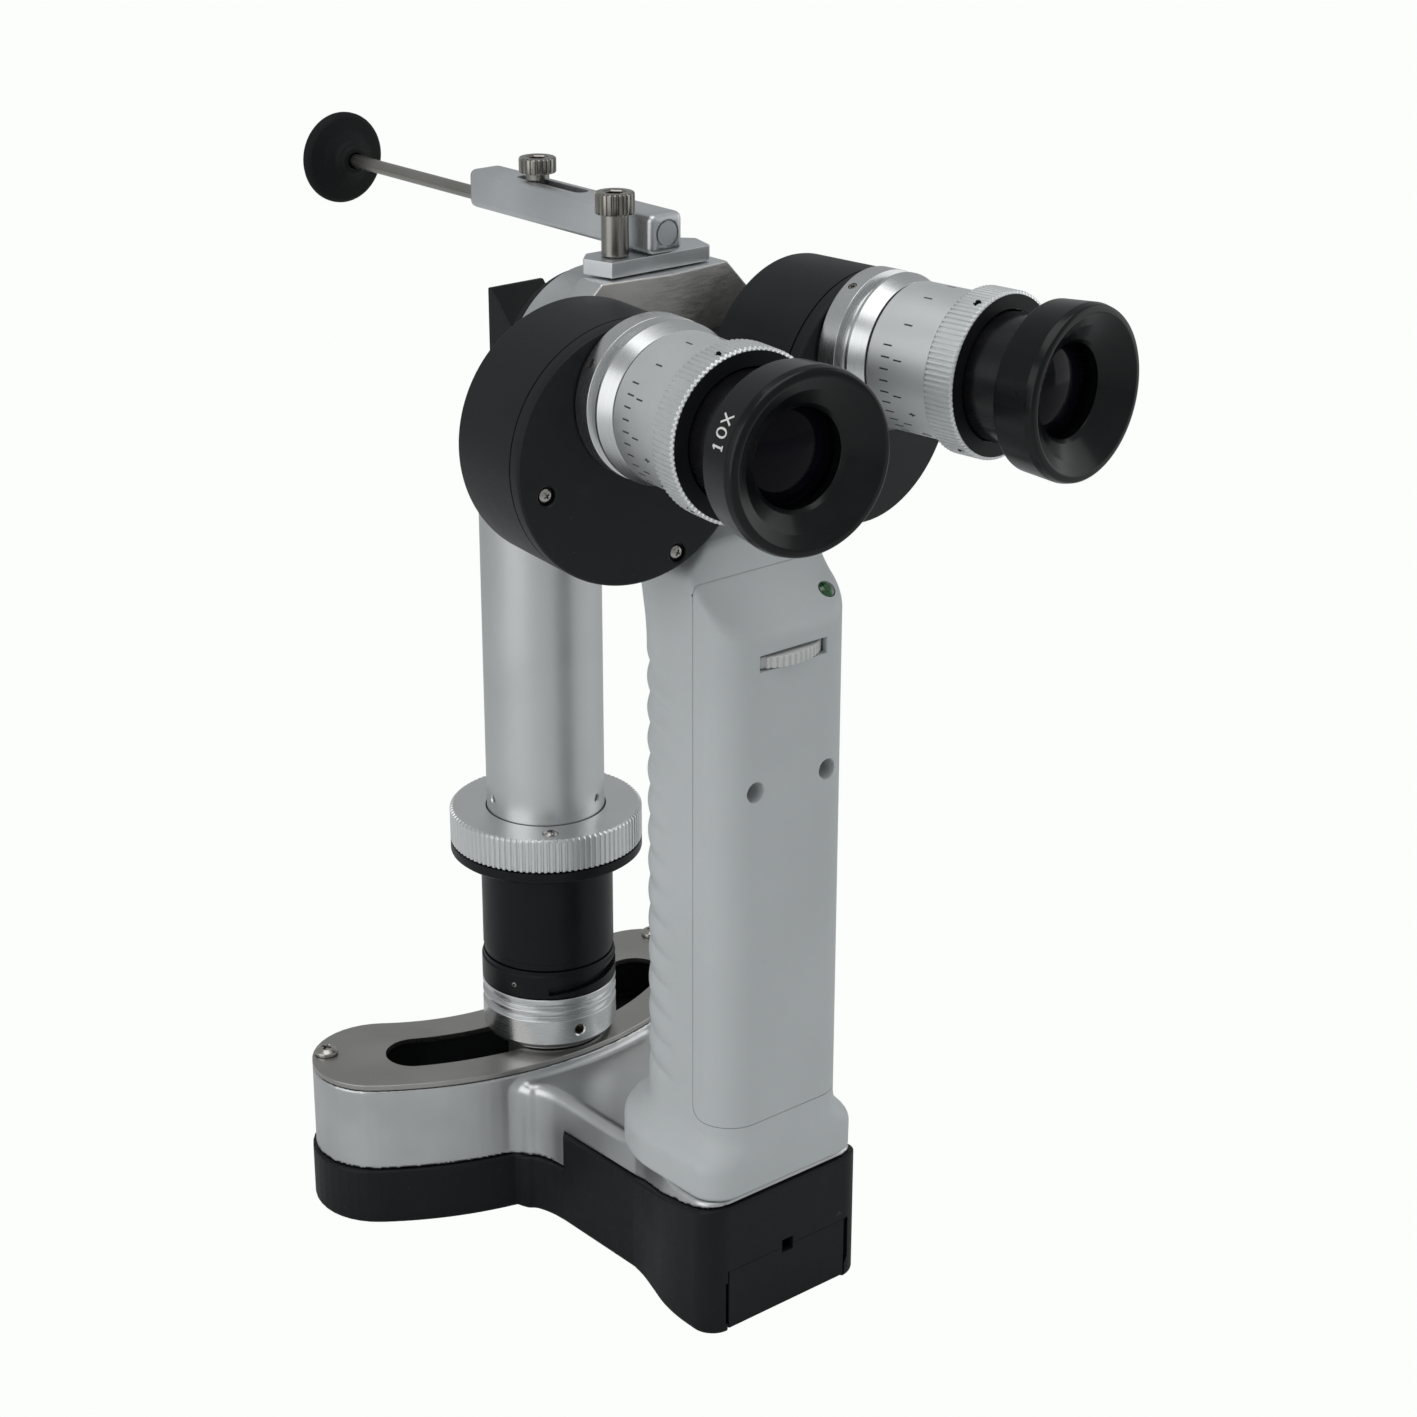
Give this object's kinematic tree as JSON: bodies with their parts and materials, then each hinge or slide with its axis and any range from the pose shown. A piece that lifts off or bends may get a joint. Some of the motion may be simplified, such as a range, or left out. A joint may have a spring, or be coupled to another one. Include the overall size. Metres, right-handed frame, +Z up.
{
  "type": "handheld slit lamp",
  "caption": "Handheld slit lamp: binocular microscope with prism housings on a grip and battery foot, swinging light column with slit ring and mirror, and a forehead rest.",
  "frame": {"origin": "on the underside of the foot, straight below the light column at its middle position", "axes": "+X to the examiner's right, +Y towards the patient, +Z up"},
  "size_m": [0.1156, 0.2063, 0.2432],
  "materials": {
    "cast_metal": "satin cast",
    "tray_plastic": "matt",
    "track_steel": "brushed",
    "screw_steel": "brushed",
    "battery_wrap": "shrink wrap",
    "contact_metal": "plated",
    "grip_plastic": "fine satin",
    "wheel_plastic": "satin",
    "potentiometer_case": "matt",
    "board_resin": "satin",
    "led_green": "clear tinted",
    "bracket_metal": "machined",
    "head_metal": "satin",
    "black_anodised": "black anodised, matt",
    "lens_glass": "coated",
    "drum_black": "matt black",
    "prism_glass": "polished",
    "eyepiece_metal": "satin",
    "diopter_metal": "satin anodised",
    "eyecup_gloss": "glossy",
    "rest_metal": "satin",
    "rod_steel": "ground",
    "pad_rubber": "matt",
    "knob_steel": "knurled",
    "slider_metal": "machined",
    "column_metal": "satin",
    "lamp_board": "satin",
    "knurl_metal": "knurled",
    "slit_steel": "brushed",
    "mirror_black": "matt black",
    "mirror_glass": "front surface"
  },
  "bodies": {
    "stand": {"base_casting": "cast_metal", "base_tray": "tray_plastic", "track_plate": "track_steel", "track_screw_left": "screw_steel", "track_screw_right": "screw_steel", "battery_pack": "battery_wrap", "battery_contacts": "contact_metal", "grip_shell": "grip_plastic", "rear_cover": "grip_plastic", "cover_screw_left": "screw_steel", "cover_screw_right": "screw_steel", "potentiometer": "potentiometer_case", "control_board": "board_resin", "power_led": "led_green", "head_bracket": "bracket_metal", "head_body": "head_metal", "objective_cell": "black_anodised", "objective_lens_left": "lens_glass", "objective_lens_right": "lens_glass", "rest_plate": "rest_metal", "rest_arm": "rest_metal"},
    "lamp_arm": {"swing_slider": "slider_metal", "lamp_base_ring": "column_metal", "lamp_led": "lamp_board", "lamp_sleeve": "black_anodised", "condenser_lens": "prism_glass", "column_flange": "black_anodised", "column_tube": "column_metal", "slit_plate": "slit_steel", "mirror_head": "mirror_black", "mirror": "mirror_glass"},
    "filter_ring": {"filter_ring": "black_anodised"},
    "slit_ring": {"slit_ring": "knurl_metal"},
    "brightness_wheel": {"brightness_wheel": "wheel_plastic"},
    "forehead_rod": {"rest_rod": "rod_steel", "rest_pad": "pad_rubber"},
    "rod_clamp": {"rod_clamp_knob": "knob_steel"},
    "mount_screw": {"mount_knob": "knob_steel"},
    "battery_door": {"battery_door": "tray_plastic"},
    "prism_housing_left": {"drum_left": "drum_black", "drum_cover_left": "drum_black", "drum_screw_left_0": "screw_steel", "drum_screw_left_1": "screw_steel", "prism_left": "prism_glass", "eyepiece_collar_left": "eyepiece_metal"},
    "diopter_ring_left": {"diopter_ring_left": "diopter_metal"},
    "eyepiece_left": {"eyepiece_barrel_left": "black_anodised", "eyecup_left": "eyecup_gloss", "eye_lens_left": "lens_glass"},
    "prism_housing_right": {"drum_right": "drum_black", "drum_cover_right": "drum_black", "drum_screw_right_0": "screw_steel", "drum_screw_right_1": "screw_steel", "prism_right": "prism_glass", "eyepiece_collar_right": "eyepiece_metal"},
    "diopter_ring_right": {"diopter_ring_right": "diopter_metal"},
    "eyepiece_right": {"eyepiece_barrel_right": "black_anodised", "eyecup_right": "eyecup_gloss", "eye_lens_right": "lens_glass"}
  },
  "joints": [
    {"name": "illumination_swing", "type": "hinge", "parent": "stand", "child": "lamp_arm", "pos_m": [0, 0.066, 0.036], "axis": [0, 0, 1], "range_deg": [-28, 28]},
    {"name": "filter_turn", "type": "hinge", "parent": "lamp_arm", "child": "filter_ring", "pos_m": [0, 0, 0.0535], "axis": [0, 0, 1], "range_deg": [-60, 60]},
    {"name": "slit_turn", "type": "hinge", "parent": "lamp_arm", "child": "slit_ring", "pos_m": [0, 0, 0.089], "axis": [0, 0, 1], "range_deg": [-135, 135]},
    {"name": "pupil_distance_left", "type": "hinge", "parent": "stand", "child": "prism_housing_left", "pos_m": [-0.01391, -0.05118, 0.2], "axis": [-0.1179, -0.993, 0], "range_deg": [-25, 15]},
    {"name": "diopter_turn_left", "type": "hinge", "parent": "prism_housing_left", "child": "diopter_ring_left", "pos_m": [-0.03575, -0.12901, 0.2118], "axis": [-0.1179, -0.993, 0], "range_deg": [-144, 144]},
    {"name": "eyepiece_focus_left", "type": "slide", "parent": "prism_housing_left", "child": "eyepiece_left", "axis": [-0.1179, -0.993, 0], "range_m": [-0.0024, 0.0024]},
    {"name": "pupil_distance_right", "type": "hinge", "parent": "stand", "child": "prism_housing_right", "pos_m": [0.01391, -0.05118, 0.2], "axis": [0.1179, -0.993, 0], "range_deg": [-15, 25]},
    {"name": "diopter_turn_right", "type": "hinge", "parent": "prism_housing_right", "child": "diopter_ring_right", "pos_m": [0.03575, -0.12901, 0.2118], "axis": [0.1179, -0.993, 0], "range_deg": [-144, 144]},
    {"name": "eyepiece_focus_right", "type": "slide", "parent": "prism_housing_right", "child": "eyepiece_right", "axis": [0.1179, -0.993, 0], "range_m": [-0.0024, 0.0024]},
    {"name": "brightness_turn", "type": "hinge", "parent": "stand", "child": "brightness_wheel", "pos_m": [0, -0.0726, 0.153], "axis": [0, 0, 1], "range_deg": [-135, 135]},
    {"name": "forehead_rod_slide", "type": "slide", "parent": "stand", "child": "forehead_rod", "axis": [0, 1, 0], "range_m": [-0.0135, 0.004]},
    {"name": "rod_clamp_turn", "type": "hinge", "parent": "forehead_rod", "child": "rod_clamp", "pos_m": [0, -0.0016, 0.24], "axis": [0, 0, 1], "range_deg": [-180, 180]},
    {"name": "mount_screw_turn", "type": "hinge", "parent": "stand", "child": "mount_screw", "pos_m": [-0.0086, -0.0387, 0.24], "axis": [0, 0, 1], "range_deg": [-180, 180]},
    {"name": "battery_door_slide", "type": "slide", "parent": "stand", "child": "battery_door", "axis": [0, -1, 0], "range_m": [0, 0.03]}
  ],
  "couplings": [
    {"joint": "pupil_distance_left", "follows": "pupil_distance_right", "ratio": -1},
    {"joint": "eyepiece_focus_left", "follows": "diopter_turn_left", "m_per_rad": 0.00095},
    {"joint": "eyepiece_focus_right", "follows": "diopter_turn_right", "m_per_rad": 0.00095}
  ]
}
